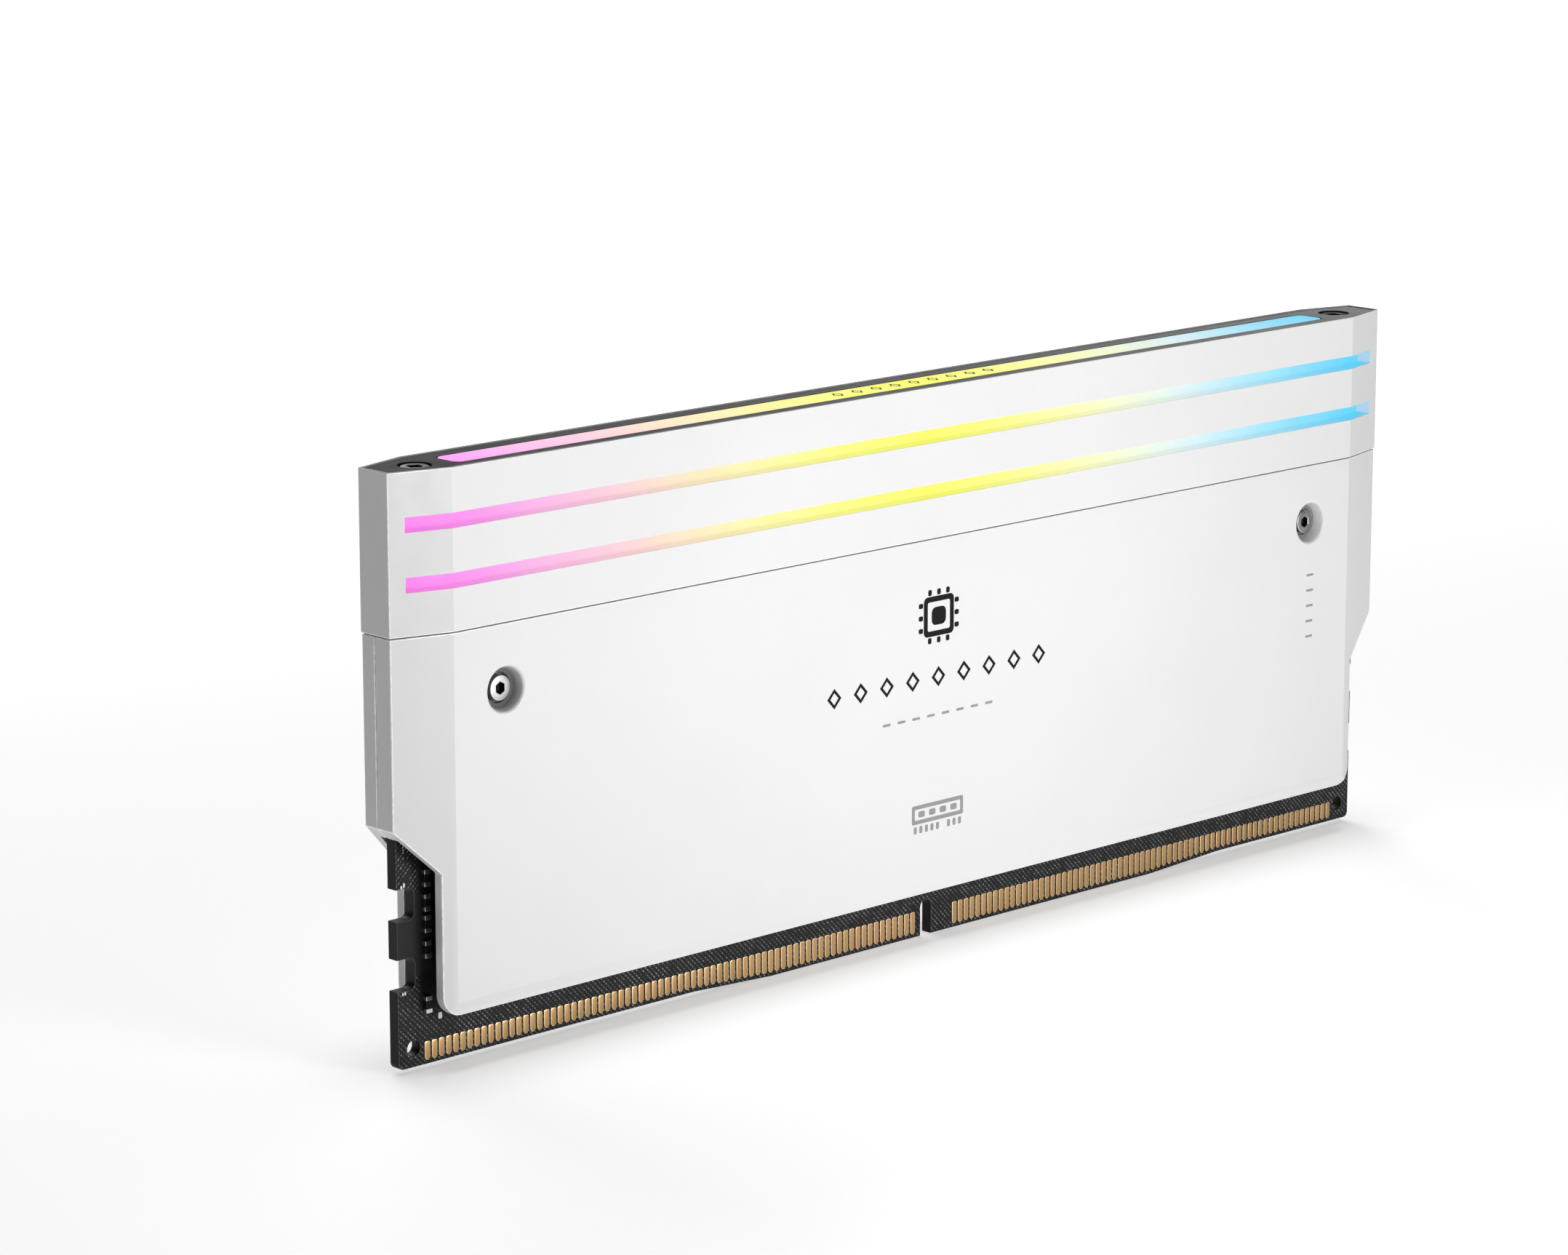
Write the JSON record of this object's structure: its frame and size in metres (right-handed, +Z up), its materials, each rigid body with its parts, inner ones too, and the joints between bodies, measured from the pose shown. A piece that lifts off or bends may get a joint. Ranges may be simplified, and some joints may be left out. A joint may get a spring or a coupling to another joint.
{
  "type": "ram module",
  "caption": "Desktop memory module: card-edge circuit board between two white heat spreaders, with a lit bar on top.",
  "frame": {"origin": "middle of the circuit board's contact edge, in the middle of its thickness, at the deepest part of the edge", "axes": "+X along the module, to the right when its front is looked at; the front with the casing screws faces -Y; +Z up, away from the contact edge"},
  "size_m": [0.1362, 0.0074, 0.056],
  "materials": {
    "white_coating": "satin white coated",
    "plate_coating": "dark grey anodised",
    "bright_screw": "bright machined",
    "dark_screw": "black oxide",
    "board_mask": "black solder mask over glass weave",
    "contact_gold": "gold plated",
    "chip_body": "moulded black",
    "ceramic_part": "dark ceramic with tinned ends",
    "pad_silicone": "soft grey silicone",
    "bare_aluminium": "machined",
    "diffuser": "translucent, lit from inside",
    "led_body": "clear capped",
    "connector": "moulded ivory"
  },
  "bodies": {
    "root": {"front_spreader": "white_coating", "rear_spreader": "white_coating", "light_bar_shell": "white_coating", "top_plate": "plate_coating", "casing_screw_left": "bright_screw", "casing_screw_right": "bright_screw", "top_screw_left": "dark_screw", "top_screw_right": "dark_screw", "circuit_board": "board_mask", "led_board": "board_mask", "led_riser_card": "board_mask", "contacts_front_left": "contact_gold", "contacts_front_right": "contact_gold", "contacts_rear_left": "contact_gold", "contacts_rear_right": "contact_gold", "memory_chip_1": "chip_body", "memory_chip_2": "chip_body", "memory_chip_3": "chip_body", "memory_chip_4": "chip_body", "memory_chip_5": "chip_body", "memory_chip_6": "chip_body", "memory_chip_7": "chip_body", "memory_chip_8": "chip_body", "power_chip": "chip_body", "hub_chip": "chip_body", "inductor_left": "ceramic_part", "inductor_right": "ceramic_part", "chip_resistor_1": "ceramic_part", "chip_resistor_2": "ceramic_part", "chip_resistor_3": "ceramic_part", "chip_resistor_4": "ceramic_part", "chip_resistor_5": "ceramic_part", "thermal_pad_front": "pad_silicone", "thermal_pad_rear": "pad_silicone", "top_rail": "bare_aluminium", "top_lens": "diffuser", "light_guide": "diffuser", "led_1": "led_body", "led_2": "led_body", "led_3": "led_body", "led_4": "led_body", "led_5": "led_body", "led_6": "led_body", "led_7": "led_body", "led_8": "led_body", "led_9": "led_body", "led_10": "led_body", "led_11": "led_body", "led_riser_socket": "connector"}
  },
  "joints": []
}
